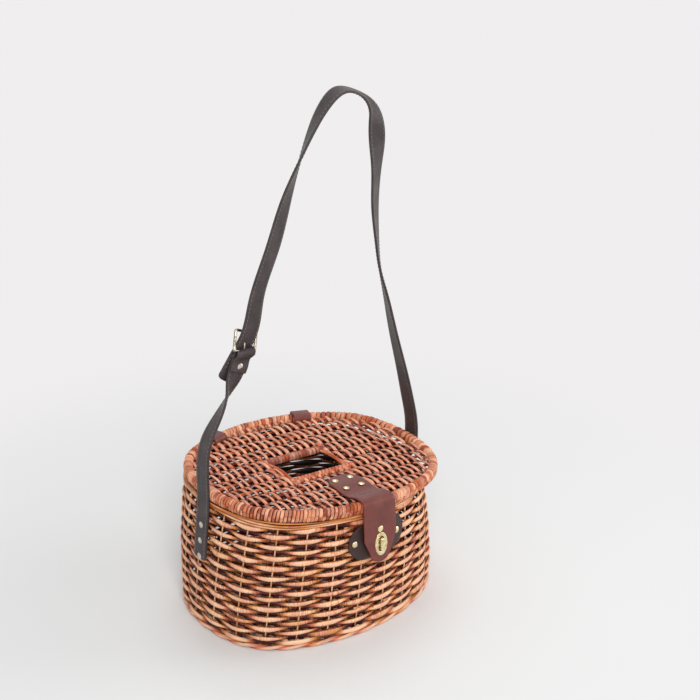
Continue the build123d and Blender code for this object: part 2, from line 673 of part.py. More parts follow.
pieces = [
    foot_ring, base_weave, base_sticks, wall_weave, wall_stakes, top_border, lid_rim, lid_weave, lid_sticks,
    hole_frame, hinge_loop_left, hinge_loop_right, latch_tab, tab_rivets, tab_washers, latch_flap,
    eyelet_front, eyelet_back, flap_rivet, latch_patch, patch_rivets, patch_washers, lock_plate, turn_button,
    strap_end_left, strap_end_right, strap_rivets_left, strap_rivets_right, strap_washers, short_strap,
    long_strap, buckle_frame, buckle_prong, buckle_rivet,
]
for piece in pieces:
    export_step(piece.part, f"parts/{piece.part.label}.step")

print("lid hinge", lid_plane(-rim_height, 0, lid_half_y + hinge_back).origin, "axis", across)
print("flap fold", fold, "lean", degrees(flap_lean))
print("turn button", flap_plane.from_local_coords((0, latch_at, 0)), "axis", flap_out)
print("strap foot", crown_plane(-strap_split).origin)
print("prong", bar_middle, "axis", abreast * -1)
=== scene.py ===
import bpy
import numpy as np
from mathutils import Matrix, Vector


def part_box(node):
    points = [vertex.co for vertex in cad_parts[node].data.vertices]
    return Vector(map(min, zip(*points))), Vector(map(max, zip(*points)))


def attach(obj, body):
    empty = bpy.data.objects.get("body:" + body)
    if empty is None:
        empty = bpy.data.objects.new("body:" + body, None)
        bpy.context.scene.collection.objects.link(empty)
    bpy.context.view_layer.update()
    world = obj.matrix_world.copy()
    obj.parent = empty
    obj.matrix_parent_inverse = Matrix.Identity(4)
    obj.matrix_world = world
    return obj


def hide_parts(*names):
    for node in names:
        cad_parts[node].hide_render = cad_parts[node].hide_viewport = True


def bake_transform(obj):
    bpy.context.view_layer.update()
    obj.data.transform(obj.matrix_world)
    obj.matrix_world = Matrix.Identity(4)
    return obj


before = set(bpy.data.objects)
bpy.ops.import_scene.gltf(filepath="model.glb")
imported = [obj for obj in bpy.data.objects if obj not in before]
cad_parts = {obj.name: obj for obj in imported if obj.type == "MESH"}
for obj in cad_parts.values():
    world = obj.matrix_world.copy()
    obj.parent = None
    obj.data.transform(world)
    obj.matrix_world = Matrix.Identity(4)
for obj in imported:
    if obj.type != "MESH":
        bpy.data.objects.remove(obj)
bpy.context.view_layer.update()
scene = bpy.context.scene

fall = np.radians(4.5)
# Metres: half sizes along X and Y, and the radii of the end, side and corner arcs
basket = dict(
    baseHalf=(0.166, 0.137), mouthHalf=(0.154, 0.133), lidHalf=(0.165, 0.138), radii=(0.19, 0.24, 0.098),
    swell=0.003, footHeight=0.015, crownMid=0.189787, borderUnder=-0.0253,
    lidShift=(0.01 / np.cos(fall), -0.001),
)
basket["wallTop"] = basket["crownMid"] + basket["borderUnder"] * np.cos(fall)
across, rise = np.array((np.cos(fall), 0, -np.sin(fall))), np.array((np.sin(fall), 0, np.cos(fall)))
back = np.array((0.0, 1.0, 0.0))
upright = np.array((0.0, 0.0, 1.0))
fullTurn, outer = 2 * np.pi, np.multiply.outer


def unit(v):
    return v / np.maximum(np.linalg.norm(v, axis=-1, keepdims=True), 1e-12)


def direction(angle):
    return np.stack((np.cos(angle), np.sin(angle)), -1)


def circle(sides):
    return direction(np.arange(sides) / sides * fullTurn)


def inPlane(pair, first, second):
    # Each pair (x, y) as first * x + second * y.
    return first * pair[..., :1] + second * pair[..., 1:]


def squared(points, power):
    # Circle pushed out towards a square: each point over the power mean of its parts.
    return points / (np.abs(points) ** power).sum(-1, keepdims=True) ** (1 / power)


def ripple(share, count, drift=0.0):
    return np.sin(fullTurn * count * share + drift)


def spaced(count, pitch):
    return (np.arange(count) - (count - 1) / 2) * pitch


def allRound(count):
    return np.linspace(0, 1, count, endpoint=False)[None]


def runAlong(line):
    return np.r_[0, np.cumsum(np.linalg.norm(np.diff(line, axis=0), axis=1))]


def roundEnds(width, run, sizes, part):
    # A round end takes off a half width: size * (1 - sqrt(1 - (1 - distance / size) ^ 2)) * part.
    for distance, size in zip((run, run[-1] - run), sizes):
        q = np.clip(distance / size, 0, 1)
        width = width - size * (1 - np.sqrt(1 - (1 - q) ** 2)) * part
    return width


def oval(share, halfX, halfY, inset=0.0):
    # Outline of eight tangent arcs, at shares of its length from +X: points and outward normals.
    # A quarter is an end, a corner and a side arc, and the others mirror it.
    end, side, corner = basket["radii"]
    endX, sideY = halfX - end, halfY - side
    span = np.hypot(endX, sideY)
    along = ((end - corner) ** 2 - (side - corner) ** 2 + span**2) / (2 * span)
    off = np.sqrt((end - corner) ** 2 - along**2)
    cx = endX - along * endX / span - off * sideY / span
    cy = along * sideY / span - off * endX / span
    low, high = np.arctan2(cy, cx - endX), np.arctan2(cy - sideY, cx)
    one, two = (end - inset) * low, (corner - inset) * (high - low)
    three = (side - inset) * (np.pi / 2 - high)
    part = share % 1.0 * 4
    quarter = np.minimum(np.floor(part), 3)
    s = np.where(quarter % 2 == 0, part - quarter, 1 - part + quarter) * (one + two + three)
    first, second = s < one, s < one + two
    angle = np.where(first, s / (end - inset), np.where(
        second, low + (s - one) / (corner - inset), high + (s - one - two) / (side - inset)))
    reach = np.where(first, end, np.where(second, corner, side)) - inset
    x = np.where(first, endX, np.where(second, cx, 0)) + reach * np.cos(angle)
    y = np.where(first, 0, np.where(second, cy, sideY)) + reach * np.sin(angle)
    signX = np.where((quarter == 1) | (quarter == 2), -1, 1)
    signY = np.where(quarter >= 2, -1, 1)
    return x * signX, y * signY, np.cos(angle) * signX, np.sin(angle) * signY


def wallPoint(share, up, out):
    # Point on the wall at a share round it and a share of its height, moved out from its skin.
    # The half sizes lean from base to mouth with a belly, and the plan turns to the mouth's slope.
    share, up, out = np.broadcast_arrays(share, up, out)
    belly = 4 * basket["swell"] * up * (1 - up)
    (bx, by), (mx, my) = basket["baseHalf"], basket["mouthHalf"]
    x, y, nx, ny = oval(share, bx + (mx - bx) * up + belly, by + (my - by) * up + belly)
    x, y = x + nx * out, y + ny * out
    turn = fall * up
    height = basket["footHeight"] + (basket["wallTop"] - basket["footHeight"]) * up
    place = np.stack((basket["borderUnder"] * np.sin(fall) * up + x * np.cos(turn), y,
                      height - x * np.sin(turn)), -1)
    return place, np.stack((nx * np.cos(turn), ny, -nx * np.sin(turn)), -1)


def crownPoint(x, y, height):
    # Point in the mouth's sloping frame, over the middle of the basket.
    return (upright * basket["crownMid"] + outer(x, across)
            + outer(y, back) + outer(height, rise))


def lidPoint(x, y, height):
    return crownPoint(x + basket["lidShift"][0], y + basket["lidShift"][1], height)


def edgeLine(share, half, inset, height, point):
    # Line round an outline in the mouth's frame, with its outward directions.
    x, y, nx, ny = oval(share, *half, inset)
    return point(x, y, height), outer(nx, across) + outer(ny, back)


def spline(points, count):
    # Natural cubic spline over the chord length, sampled at equal steps.
    points = np.asarray(points, float)
    t = runAlong(points[:, :3])
    h = np.diff(t)
    system = np.diag(np.r_[1, 2 * (h[:-1] + h[1:]), 1])
    system += np.diag(np.r_[h[:-1], 0], -1) + np.diag(np.r_[0, h[1:]], 1)
    slope = np.diff(points, axis=0) / h[:, None]
    right = np.vstack((0 * points[0], 6 * np.diff(slope, axis=0), 0 * points[0]))
    bend = np.linalg.solve(system, right)
    u = np.linspace(0, t[-1], count)
    i = np.clip(np.searchsorted(t, u, "right") - 1, 0, len(h) - 1)
    a, b, w = (t[i + 1] - u)[:, None], (u - t[i])[:, None], h[i][:, None]
    return (bend[i] * a**3 + bend[i + 1] * b**3) / (6 * w) + (points[i] / w - bend[i] * w / 6) * a \
        + (points[i + 1] / w - bend[i + 1] * w / 6) * b


def addObject(name, data):
    thing = bpy.data.objects.new(name, data)
    scene.collection.objects.link(thing)
    return thing


# Shift of the grain from rod to rod, and how the edge darkening lies: on both edges as varnish and painted
# shade, and on one edge, the lower one on the wall, as painted shade
sweepLook = dict(grainShift=7.3, edgeStainAndShade=0.6, lowerEdgeShade=0.4)


class Piece:
    # Collects swept surfaces for one mesh, with values on its points for the materials, among them a
    # darkening that is partly stain and partly painted shade.
    def __init__(self):
        self.parts, self.total = {key: [] for key in ("points", "faces", "grain", "tone", "stain")}, 0

    def sweep(self, path, outward, section, closed=False, tone=0.5, stain=0.0, inside=0.0, edge=0.0):
        # Sections (x, y) carried along paths: point = path + outward * x + sideways * y.
        # An open path gets caps of strips between the section's two halves.
        ahead = unit(np.roll(path, -1, 1) - np.roll(path, 1, 1) if closed else np.gradient(path, axis=1))
        sideways = unit(np.cross(ahead, outward))
        face = np.cross(sideways, ahead)
        points = path[:, :, None] + inPlane(section, face[:, :, None], sideways[:, :, None])
        n, k, m = points.shape[:3]
        index = np.arange(n * k * m).reshape(n, k, m)
        ring = np.concatenate((index, index[:, :1]), 1) if closed else index
        a, b = ring[:, :-1], ring[:, 1:]
        faces = [np.stack((a, np.roll(a, -1, 2), np.roll(b, -1, 2), b), -1).reshape(-1, 4)]
        if not closed:
            j = np.arange(m // 2 - 1)
            cap = np.stack((j, m - 1 - j, m - 2 - j, j + 1), -1)
            faces += [index[:, 0][:, cap].reshape(-1, 4), index[:, -1][:, cap[:, ::-1]].reshape(-1, 4)]
        flat = 0 * points[..., 0]
        run = np.cumsum(np.linalg.norm(np.diff(path, axis=1, prepend=path[:, :1]), axis=-1), 1)
        tone = np.reshape(tone, (-1, 1, 1)) if np.ndim(tone) < 2 else tone[..., None]
        grain = np.stack((run[..., None] + flat + tone * sweepLook["grainShift"],
                          section[..., 0] + flat, section[..., 1] + flat), -1)
        stain = stain[..., None] if np.ndim(stain) == 2 else stain
        side = section[..., 1] / np.maximum(np.abs(section[..., 1]).max(-1, keepdims=True), 1e-9)
        # Painted shade: inner faces darker, both edges darker with varnish, and one edge darker and the other
        # paler (lower and upper on the wall), as light from above
        stain = stain + inside * (section[..., 0] < 0)
        stain = stain + edge * (sweepLook["edgeStainAndShade"] * side**2 + sweepLook["lowerEdgeShade"] * side)
        for key, values, size in (("points", points, 3), ("faces", np.concatenate(faces) + self.total, 4),
                                  ("grain", grain, 3), ("tone", tone + flat, 1), ("stain", stain + flat, 1)):
            self.parts[key].append(values.reshape(-1, size))
        self.total += n * k * m

    def build(self, name, body, material, slot, *replaced):
        parts = {key: np.concatenate(values) for key, values in self.parts.items()}
        points, faces = parts["points"], parts["faces"]
        mesh = bpy.data.meshes.new(name)
        mesh.vertices.add(len(points))
        mesh.vertices.foreach_set("co", points.ravel())
        mesh.loops.add(faces.size)
        mesh.loops.foreach_set("vertex_index", faces.astype(np.int32).ravel())
        mesh.polygons.add(len(faces))
        mesh.polygons.foreach_set("loop_start", np.arange(0, faces.size, 4, dtype=np.int32))
        mesh.polygons.foreach_set("use_smooth", np.ones(len(faces), bool))
        mesh.update(calc_edges=True)
        for key, kind, target in (("tone", "FLOAT", "value"), ("stain", "FLOAT", "value"),
                                  ("grain", "FLOAT_VECTOR", "vector")):
            values = parts[key].astype(np.float32).ravel()
            mesh.attributes.new(key, kind, "POINT").data.foreach_set(target, values)
        mesh.validate()
        piece = addObject(name, mesh)
        mesh.materials.append(materials[material])
        if body:
            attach(piece, body)
        if replaced:
            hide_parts(*replaced)
        return piece


black, white = (0, 0, 0, 1), (1, 1, 1, 1)


def colour(code):
    # Linear colour of a hex code.
    c = np.array([int(code[i:i + 2], 16) for i in (1, 3, 5)]) / 255
    return (*np.where(c <= 0.04045, c / 12.92, ((c + 0.055) / 1.055) ** 2.4), 1)


class Graph:
    # Places nodes: a value that is a socket is linked, and any other is set.
    def __init__(self, tree):
        self.tree = tree

    def feed(self, node, inputs):
        for key, value in inputs.items():
            if isinstance(value, bpy.types.NodeSocket):
                self.tree.links.new(value, node.inputs[key])
            else:
                node.inputs[key].default_value = value

    def put(self, kind, inputs=None, **settings):
        node = self.tree.nodes.new(kind)
        for key, value in settings.items():
            setattr(node, key, value)
        self.feed(node, inputs or {})
        return node

    def math(self, operation, a, b, clamp=False):
        return self.put("ShaderNodeMath", {0: a, 1: b}, operation=operation, use_clamp=clamp).outputs[0]

    def times(self, a, b):
        return self.math("MULTIPLY", a, b)

    def plus(self, a, b, clamp=False):
        return self.math("ADD", a, b, clamp)

    def around(self, value, amount):
        # Value about a half, scaled: (value - 0.5) * amount.
        return self.times(self.math("SUBTRACT", value, 0.5), amount)

    def mix(self, factor, a, b):
        return self.put("ShaderNodeMix", {0: factor, 6: a, 7: b}, data_type="RGBA").outputs[2]

    def noise(self, vector, scale, detail):
        inputs = {"Vector": vector, "Scale": scale, "Detail": detail, "Roughness": 0.6}
        return self.put("ShaderNodeTexNoise", inputs).outputs[0]

    def stretched(self, vector, scale, detail):
        # Noise with a scale of its own along each axis.
        mapped = self.put("ShaderNodeMapping", {"Vector": vector, "Scale": scale}).outputs[0]
        return self.noise(mapped, 1.0, detail)

    def ramp(self, factor, low, high, ends=(black, white)):
        node = self.put("ShaderNodeValToRGB", {0: factor})
        for item, place, value in zip(node.color_ramp.elements, (low, high), ends):
            item.position, item.color = place, value
        return node.outputs[0]

    def place(self):
        return self.put("ShaderNodeTexCoord").outputs["Object"]

    def seen(self):
        # One for the camera and for mirrors, zero for the light that falls on things.
        ray = self.put("ShaderNodeLightPath")
        return self.math("MAXIMUM", ray.outputs["Is Camera Ray"], ray.outputs["Is Glossy Ray"])


def group(name, **labels):
    # Shared effect: its inputs by kind, and a colour, a roughness and a height out of it.
    tree = bpy.data.node_groups.new(name, "ShaderNodeTree")
    for way, sockets in (("INPUT", labels), ("OUTPUT", dict(Color="Color", Float="Roughness Height"))):
        for kind, words in sockets.items():
            for label in words.split():
                tree.interface.new_socket(label, in_out=way, socket_type="NodeSocket" + kind)
    g = Graph(tree)
    return tree, g, g.put("NodeGroupInput").outputs, g.put("NodeGroupOutput")


# The inner colour is a near-black painted shade for the basket's inner faces and dark cores
willowLook = dict(
    streaks=((26, 700, 700), 4), blotches=((16, 60, 60), 2), blotch=1.1, streak=0.85, tone=0.26, oddTone=3.7,
    oddBlotch=1.5, odd=(0.35, 0.75), oddPale=0.34, body=(0.0, 0.42), dark=(0.42, 0.95), insideShadeFrom=0.95,
    insideShadeSteep=2.2, inner=(0.012, 0.004, 0.003, 1), rough=(0.34, 0.22), relief=0.4,
)


def makeWillowGroup(look):
    # Peeled rod: its own tone, streaks along it, and darkening where it dives in, partly varnish and partly
    # painted shade.
    tree, g, take, give = group(
        "willowRod", Vector="Grain", Float="Tone Stain", Color="Pale Middle Warm Dark")
    streak = g.stretched(take["Grain"], *look["streaks"])
    blotch = g.stretched(take["Grain"], *look["blotches"])
    depth = g.plus(take["Stain"], g.around(blotch, look["blotch"]))
    depth = g.plus(depth, g.around(streak, look["streak"]))
    depth = g.plus(depth, g.around(take["Tone"], look["tone"]), clamp=True)
    odd = g.plus(g.times(take["Tone"], look["oddTone"]), g.times(blotch, look["oddBlotch"]))
    odd = g.math("FRACT", odd, 0.0)
    body = g.mix(g.ramp(odd, *look["odd"]), take["Middle"], take["Warm"])
    pale = g.mix(g.times(odd, look["oddPale"]), take["Pale"], body)
    light = g.mix(g.ramp(depth, *look["body"]), pale, body)
    full = g.mix(g.ramp(depth, *look["dark"]), light, take["Dark"])
    # Painted shade: the highest stain values turn steeply towards the near-black inner colour
    inner = g.math("SUBTRACT", take["Stain"], look["insideShadeFrom"])
    inner = g.math("MULTIPLY", inner, look["insideShadeSteep"], clamp=True)
    g.feed(give, {"Color": g.mix(inner, full, look["inner"]),
                  "Roughness": g.plus(look["rough"][0], g.times(streak, look["rough"][1])),
                  "Height": g.plus(streak, g.times(blotch, look["relief"]))})
    return tree


hideLook = dict(
    cells=1500.0, cloudScale=55.0, fineScale=700.0, deepScale=24.0, wear=(0.45, 0.8), worn=0.5,
    deep=(0.35, 0.6), deepened=0.6, rough=(0.36, 0.22), cellRelief=6.0, fineRelief=0.5,
)


def makeHideGroup(look):
    # Leather: a fine pebbled grain, broad wear and small scuffs.
    tree, g, take, give = group("hideGrain", Vector="Vector", Color="Base Worn Deep")
    spot = take["Vector"]
    pebbles = {"Vector": spot, "Scale": look["cells"]}
    cells = g.put("ShaderNodeTexVoronoi", pebbles, feature="DISTANCE_TO_EDGE").outputs[0]
    wear = g.ramp(g.noise(spot, look["cloudScale"], 4), *look["wear"])
    fine = g.noise(spot, look["fineScale"], 3)
    deep = g.ramp(g.noise(spot, look["deepScale"], 3), *look["deep"], ends=(white, black))
    body = g.mix(g.times(deep, look["deepened"]), take["Base"], take["Deep"])
    g.feed(give, {"Color": g.mix(g.times(wear, look["worn"]), body, take["Worn"]),
                  "Roughness": g.plus(look["rough"][0], g.times(fine, look["rough"][1])),
                  "Height": g.plus(g.times(cells, look["cellRelief"]), g.times(fine, look["fineRelief"]))})
    return tree


metalLook = dict(cloudScale=180.0, lineScale=(300, 2500, 400), dull=(0.4, 0.72), rough=(0.16, 0.26))


def makeMetalGroup(look):
    # Handled metal: cloudy dulling and fine scratches.
    tree, g, take, give = group("handledMetal", Vector="Vector", Color="Bright Dull")
    cloud = g.noise(take["Vector"], look["cloudScale"], 4)
    g.feed(give, {"Color": g.mix(g.ramp(cloud, *look["dull"]), take["Bright"], take["Dull"]),
                  "Roughness": g.plus(look["rough"][0], g.times(cloud, look["rough"][1])),
                  "Height": g.stretched(take["Vector"], look["lineScale"], 2)})
    return tree


groups = {"willow": makeWillowGroup(willowLook), "hide": makeHideGroup(hideLook),
          "metal": makeMetalGroup(metalLook)}


def newShader(name):
    material = bpy.data.materials.new(name)
    material.use_nodes = True
    g = Graph(material.node_tree)
    return material, g, g.tree.nodes["Principled BSDF"]


def newMaterial(name, groupName, inputs, depth, strength, sockets):
    # Principled shader fed by a shared group, with the bump's depth in metres.
    material, g, shader = newShader(name)
    node = g.put("ShaderNodeGroup", node_tree=groups[groupName])
    g.feed(node, inputs(g))
    out = node.outputs
    bump = g.put("ShaderNodeBump", {"Height": out["Height"], "Distance": depth, "Strength": strength})
    g.feed(shader, {"Base Color": out["Color"], "Roughness": out["Roughness"],
                    "Normal": bump.outputs[0], **sockets})
    return material


def willow(name, *codes):
    def inputs(g):
        read = lambda label, kind: g.put("ShaderNodeAttribute", attribute_name=label).outputs[kind]
        return {"Grain": read("grain", "Vector"), "Tone": read("tone", "Fac"), "Stain": read("stain", "Fac"),
                **dict(zip(("Pale", "Middle", "Warm", "Dark"), map(colour, codes)))}
    return newMaterial(name, "willow", inputs, 0.0006, 0.5,
                       {"Coat Weight": 0.08, "Coat Roughness": 0.25, "Specular IOR Level": 0.25})


def plainInputs(**codes):
    # Object coordinates and colours, for the groups of leather and metal.
    return lambda g: {"Vector": g.place(), **{label: colour(code) for label, code in codes.items()}}


def hide(name, base, worn, deep, sheen):
    return newMaterial(name, "hide", plainInputs(Base=base, Worn=worn, Deep=deep), 0.00025, 0.4,
                       {"Coat Weight": sheen, "Coat Roughness": 0.28, "Specular IOR Level": 0.3})


def metal(name, bright, dull):
    return newMaterial(name, "metal", plainInputs(Bright=bright, Dull=dull), 0.0001, 0.3, {"Metallic": 1.0})


def newThread():
    material, g, shader = newShader("waxedThread")
    spin = g.noise(g.place(), 900.0, 2)
    bump = g.put("ShaderNodeBump", {"Height": spin, "Distance": 0.0001, "Strength": 0.5})
    g.feed(shader, {"Base Color": g.mix(spin, colour("#6E665C"), colour("#94897A")),
                    "Normal": bump.outputs[0], "Roughness": 0.6})
    return material


materials = {
    "wall": willow("varnishedWillow", "#F8CBA8", "#CC803E", "#B85A40", "#3A0803"),
    "lid": willow("reddishWillow", "#F4B898", "#BA5428", "#86382E", "#280502"),
    "rim": willow("wrappedWillow", "#F8BE98", "#BC5C30", "#9C4632", "#2C0804"),
    "rod": willow("willowRod", "#E6B68C", "#B0642F", "#9A5238", "#300A04"),
    "strap": hide("strapLeather", "#3A3032", "#5C4E50", "#221D1F", 0.18),
    "latch": hide("latchLeather", "#6E2B22", "#864636", "#521F19", 0.45),
    "patch": hide("patchLeather", "#36201C", "#4E3028", "#22100E", 0.2),
    "brass": metal("agedBrass", "#F8EBC4", "#C0AA6C"),
    "nickel": metal("wornNickel", "#DAD4C8", "#8A8378"),
    "buckle": metal("castBuckle", "#B4AE9C", "#3C382E"),
    "thread": newThread(),
}
print("materials made")


rodRound = circle(8)


def begin(seed):
    # A piece and the random draws for it.
    return Piece(), np.random.default_rng(seed)


def waver(share, row, amount, count, drift):
    # Change along a rod, moved on from row to row: amount * sin(2 * pi * count * share + row * drift).
    return amount * ripple(share, count, row * drift)


def diveStainAndShade(wave, low, gain, start, span, power=1.0):
    # Darkening where a rod dives behind its neighbour, partly gathered varnish and partly painted shade: low
    # + gain * clip((start - wave) / span) ^ power.
    return low + gain * np.clip((start - wave) / span, 0, 1) ** power


# The darkening at the dives, on inner faces and on edges is partly painted shade
wall = dict(
    rows=22, rods=2, steps=150, overlap=0.022, tuck=0.0035, tuckPart=12,
    stakes=24, stakeStart=0.46, stakeLean=0.0173, stakeRadius=0.001, stakeOut=0.0004,
    inset=0.0046, swing=0.0026, thick=0.0018, thin=0.0025,
    crest=0.0015, crestPower=1.3, innerCrest=0.5, width=(0.82, 1.12), taper=(1.08, 0.9),
    sag=(0.0012, 3, 1.7), waver=(0.0022, 17, 1.3), waverPower=1.5, waverLeast=0.3,
    wobble=(0.1, 7, 2.4), swelling=(0.07, 11, 3.1), toneDrift=(0.18, 9, 4.7),
    stain=(0.1, 0.86, 0.45, 1.05, 1.1), inside=0.5, edge=0.26,
)


def wovenWall():
    # Rod line: out = -inset + swing * cos(phase), with the phase half a turn per stake and per row.
    # A rod is a lens over a stake, and it darkens where it dives behind the next, partly varnish and partly
    # painted shade; its inner face gets painted shade, and its lower edge painted shade under light from
    # above.
    piece, rng = begin(7)
    rods, n = wall["rods"], wall["rows"] * wall["rods"]
    row = np.repeat(np.arange(wall["rows"]), rods)[:, None]
    start = rng.random(wall["rows"]).repeat(rods) + np.tile(np.arange(rods), wall["rows"]) / rods
    share = start[:, None] + (1 / rods + wall["overlap"]) * np.linspace(0, 1, wall["steps"])
    sag, count, drift = wall["sag"]
    level = waver(share, row, rng.normal(0, sag, (n, 1)), count, drift)
    part = rng.uniform(wall["waverLeast"], 1, (n, 1))
    level = level + waver(share, row ** wall["waverPower"], *wall["waver"]) * part
    up = (row + 0.5) / wall["rows"] + level
    wave = np.cos(np.pi * (wall["stakes"] * (share - wall["stakeLean"] * up) - wall["stakeStart"] + row))
    toEnd = np.abs(np.linspace(-1, 1, wall["steps"]))
    tuck = np.clip(toEnd * wall["tuckPart"] - wall["tuckPart"] + 1, 0, 1) * wall["tuck"]
    swing = wall["swing"] * (1 + waver(share, row, *wall["wobble"]))
    path, outward = wallPoint(share, up, -wall["inset"] + swing * wave - tuck)
    thickness = rng.uniform(*wall["width"], (n, 1)) * np.linspace(*wall["taper"], wall["steps"])
    thickness = thickness * (1 + waver(share, row, *wall["swelling"]))
    crest = wall["crest"] * np.abs(wave) ** wall["crestPower"]
    crest = crest * (1 - wall["innerCrest"] * np.minimum(wave, 0))
    section = np.stack((wall["thick"] * thickness, (wall["thin"] + crest) * thickness), -1)[:, :, None]
    tone = rng.random(n)[:, None] + waver(share, row, *wall["toneDrift"])
    # Painted shade with varnish: darker at the dives, on the rods' inner faces and on their lower edges
    piece.sweep(path, outward, rodRound * section, tone=tone, stain=diveStainAndShade(wave, *wall["stain"]),
                inside=wall["inside"], edge=wall["edge"])
    piece.build("wovenWall", "basket", "wall", "willow", "wall_weave")


def wallStakes():
    # Each stake stands at its share of the outline and leans along it as it rises.
    piece = Piece()
    up = np.linspace(0.0, 1.0, 12)[None]
    share = (np.arange(wall["stakes"])[:, None] + wall["stakeStart"]) / wall["stakes"]
    share = share + wall["stakeLean"] * up
    path, outward = wallPoint(share, up, wall["stakeOut"] - wall["inset"])
    tone = np.random.default_rng(3).random(wall["stakes"]) * 0.5
    piece.sweep(path, outward, rodRound * wall["stakeRadius"], tone=tone, stain=0.15)
    piece.build("wallStakes", "basket", "rod", "willow_rods", "wall_stakes")


border = dict(
    levels=(-0.0174, -0.0203, -0.0233, -0.0188, -0.0222), insets=(0.0016, 0.0017, 0.0016, 0.0062, 0.0066),
    radius=0.0012, steps=260, crossings=5, rise=0.0007, depth=0.0006, swelling=(0.12, 7),
    stain=(0.42, 0.14, 9), coreInset=0.0058, coreLevel=-0.0205, coreHalf=(0.0028, 0.0042),
)


def topBorder():
    # Thin rods round the mouth: each wavers in height and depth, so that it crosses its neighbours.
    piece, rng = begin(11)
    share = allRound(border["steps"])
    drift = rng.random((len(border["levels"]), 1)) * 6
    turn = fullTurn * border["crossings"] * share + drift
    height = np.array(border["levels"])[:, None] + border["rise"] * np.sin(turn)
    inset = np.array(border["insets"])[:, None] + border["depth"] * np.cos(turn)
    path, outward = edgeLine(share, basket["mouthHalf"], inset, height, crownPoint)
    swelling, count = border["swelling"]
    radius = border["radius"] * (1 + swelling * ripple(share, count, 2 * drift))[..., None, None]
    low, gain, count = border["stain"]
    piece.sweep(path, outward, rodRound * radius, closed=True, tone=rng.random(len(drift)),
                stain=low + gain * ripple(share, count, drift))
    # Painted shade: a core at full darkness behind the border rods, seen in their gaps
    core, outward = edgeLine(share, basket["mouthHalf"], border["coreInset"], border["coreLevel"], crownPoint)
    piece.sweep(core, outward, rodRound * border["coreHalf"], closed=True, tone=1.0, stain=1.0)
    piece.build("topBorder", "basket", "wall", "willow_rods", "top_border")


foot = dict(
    rowLevel=0.0112, rowSwing=0.8, rowCrest=0.6, rowStainAndShade=(0.1, 0.8, 0.4, 1.0), ropeLevel=0.0041,
    inset=0.0052, strands=2, turns=14, twist=0.0016, strandHalf=(0.002, 0.0024), steps=720,
)


def footRing():
    # A row woven as the wall is, over a twisted rope: strand = line + twist * (cos, sin) of its turn.
    piece = Piece()
    share = allRound(foot["steps"])
    wave = np.cos(np.pi * (wall["stakes"] * share - wall["stakeStart"] - 1))
    row, outward = wallPoint(share, 0.0, -wall["inset"] + foot["rowSwing"] * wall["swing"] * wave)
    row = row - upright * (basket["footHeight"] - foot["rowLevel"])
    tall = wall["thin"] + foot["rowCrest"] * wall["crest"] * np.abs(wave)
    section = rodRound * np.stack((wall["thick"] + 0 * tall, tall), -1)[:, :, None]
    # The row darkens where it dives, partly varnish and partly painted shade
    piece.sweep(row, outward, section, closed=True, tone=0.45, stain=diveStainAndShade(wave, *foot["rowStainAndShade"]))
    line, outward = wallPoint(share, 0.0, -foot["inset"])
    line = line - upright * (basket["footHeight"] - foot["ropeLevel"])
    for strand in range(foot["strands"]):
        twist = fullTurn * (foot["turns"] * share + strand / foot["strands"])
        ray = inPlane(direction(twist), outward, upright)
        # Painted shade: each strand darkens where it turns in behind the rope and pales where it faces out
        piece.sweep(line + ray * foot["twist"], outward, rodRound * foot["strandHalf"], closed=True,
                    tone=0.3 + 0.3 * strand, stain=0.38 - 0.34 * np.cos(twist))
    piece.build("footRing", "basket", "wall", "willow", "foot_ring")


def reachAt(places, half, inset):
    # Half length of the outline along X, at each distance from its long axis.
    x, y, _, _ = oval(np.linspace(0, 0.25, 3000), *half, inset)
    return np.interp(np.abs(places), y, x)


field = dict(
    crestShape=0.45, sway=((0.0007, 75, 1), (0.0005, 170, 2)), stray=0.0003, wobble=(0.1, 70, 1),
    width=(0.8, 1.12), swelling=(0.14, 110, 3), flare=0.14, toneDrift=(0.25, 50, 5),
    stain=(0.08, 0.85, 0.45, 1.1),
)


def wovenField(piece, rng, weave, half, plane, normal):
    # Rods along Y over and under sticks along X: height = middle + swing * wave(pi * y / pitch + turn).
    # A rod runs from edge to edge, or to the hole's box and on from it.
    places = spaced(int(2 * weave["rodReach"] / weave["rodPitch"]), weave["rodPitch"])
    box, spans = weave["hole"], []
    ox, oy, _, _ = oval(np.linspace(0, 0.5, 4000), *half, weave["inset"])
    for turn, (at, top) in enumerate(zip(places, np.interp(-places, -ox, oy))):
        if box and abs(at - box[0]) < box[2]:
            spans += [(at, -top, box[1] - box[3], turn), (at, box[1] + box[3], top, turn)]
        else:
            spans.append((at, -top, top, turn))
    x, low, high, turn = np.array(spans).T[..., None]
    y = low + (high - low) * np.linspace(0, 1, weave["steps"])
    wave = np.cos(np.pi * (y / weave["pitch"] + turn))
    wave = wave * (1 + field["crestShape"] * (1 - wave**2))
    drift = rng.uniform(0, 6, x.shape)
    change = lambda amount, rate, part: amount * np.sin(y * rate + part * drift)
    x = x + sum(change(*sway) for sway in field["sway"])
    x = x + rng.normal(0, field["stray"], drift.shape)
    path = plane(x, y, weave["middle"] + weave["swing"] * (1 + change(*field["wobble"])) * wave)
    scale = rng.uniform(*field["width"], drift.shape) * (1 + change(*field["swelling"]))
    wide = weave["wide"] * (1 - field["flare"] * wave) * scale
    section = rodRound * np.stack((weave["thick"] * scale, wide), -1)[:, :, None]
    tone = rng.random(len(drift))[:, None] + change(*field["toneDrift"])
    # Darker where a rod dives under, partly varnish and partly painted shade
    piece.sweep(path, normal, section, tone=tone, stain=diveStainAndShade(wave, *field["stain"]))


